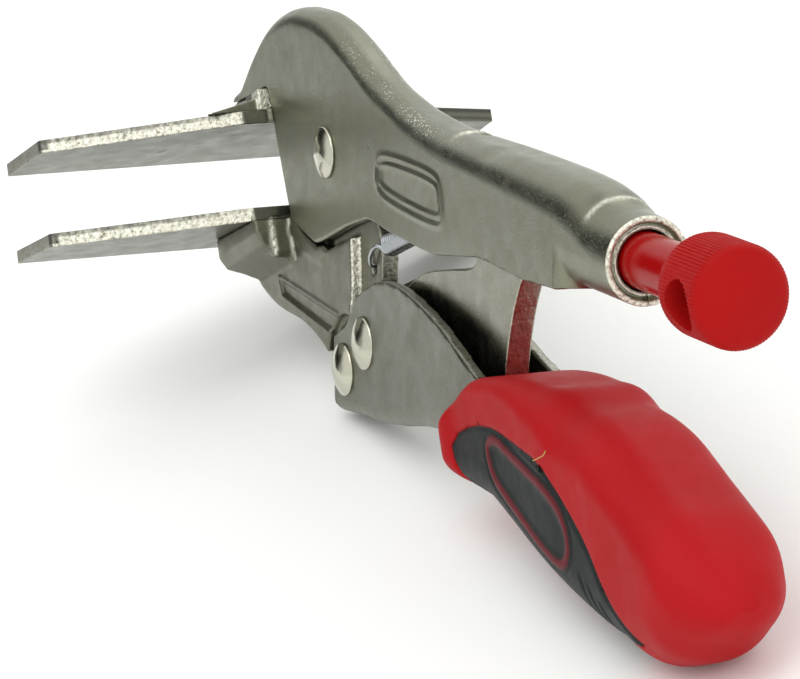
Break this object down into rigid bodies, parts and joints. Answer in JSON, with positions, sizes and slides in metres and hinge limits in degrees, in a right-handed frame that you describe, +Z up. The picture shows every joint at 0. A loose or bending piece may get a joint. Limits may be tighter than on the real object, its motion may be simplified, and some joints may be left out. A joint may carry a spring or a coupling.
{
  "type": "flat jaw locking pliers",
  "caption": "Locking pliers with two wide flat jaw plates, sheet-metal handles, toggle link, adjusting screw with red knob and red-black moulded grip",
  "frame": {"origin": "centre of the tool's footprint box, on the table under it", "axes": "+X forward towards the jaws along the tool's length, +Y to the tool's left, +Z up; the tool lies at rest on its right lower jaw corner, the lever's front corner and the grip"},
  "size_m": [0.2174, 0.0916, 0.0644],
  "materials": {
    "satin_nickel": "satin nickel plate",
    "link_nickel": "sheared nickel plate",
    "rivet_nickel": "polished",
    "spring_zinc": "bright zinc",
    "screw_steel": "cut thread",
    "neck_red": "gloss",
    "knob_red": "fine matte",
    "grip_red": "satin",
    "grip_black": "matte"
  },
  "bodies": {
    "frame": {"upper_handle_shell": "satin_nickel", "upper_jaw_web": "satin_nickel", "upper_jaw_plate": "satin_nickel", "upper_jaw_welds": "satin_nickel", "jaw_pivot_rivet": "rivet_nickel", "return_spring": "spring_zinc"},
    "lower_jaw": {"lower_jaw_arm": "satin_nickel", "lower_jaw_plate": "satin_nickel", "lower_jaw_welds": "satin_nickel"},
    "lower_handle": {"lower_lever_channel": "satin_nickel", "lever_pivot_rivet": "rivet_nickel", "link_pivot_rivet": "rivet_nickel", "grip_sleeve": "grip_red", "grip_panel_left": "grip_black", "grip_panel_right": "grip_black"},
    "toggle_link": {"toggle_link": "link_nickel"},
    "screw_neck": {"screw_sleeve": "neck_red"},
    "knob": {"adjusting_knob": "knob_red", "adjusting_screw": "screw_steel"}
  },
  "joints": [
    {"name": "jaw_hinge", "type": "hinge", "parent": "frame", "child": "lower_jaw", "pos_m": [0.05296, -0.00619, 0.04261], "axis": [0, 0.9381, 0.3463], "range_deg": [0, 3.3], "deforming": ["return_spring"]},
    {"name": "handle_hinge", "type": "hinge", "parent": "lower_jaw", "child": "lower_handle", "pos_m": [0.04213, 0.0063, 0.00875], "axis": [0, -0.9381, -0.3463], "range_deg": [0, 40]},
    {"name": "link_hinge", "type": "hinge", "parent": "lower_handle", "child": "toggle_link", "pos_m": [0.03215, 0.00374, 0.01569], "axis": [0, 0.9381, 0.3463], "range_deg": [0, 44.87]},
    {"name": "screw_slide", "type": "slide", "parent": "frame", "child": "screw_neck", "axis": [-0.9969, -0.0274, 0.0743], "range_m": [0, 0.005]},
    {"name": "knob_turn", "type": "hinge", "parent": "screw_neck", "child": "knob", "pos_m": [-0.07147, -0.01012, 0.05323], "axis": [-0.9969, -0.0274, 0.0743], "range_deg": [0, 1441]}
  ],
  "couplings": [
    {"joint": "jaw_hinge", "follows": "handle_hinge", "ratio": 0.079645},
    {"joint": "link_hinge", "follows": "handle_hinge", "ratio": 1.1143},
    {"joint": "knob_turn", "follows": "screw_slide", "rad_per_m": 5026.5}
  ]
}
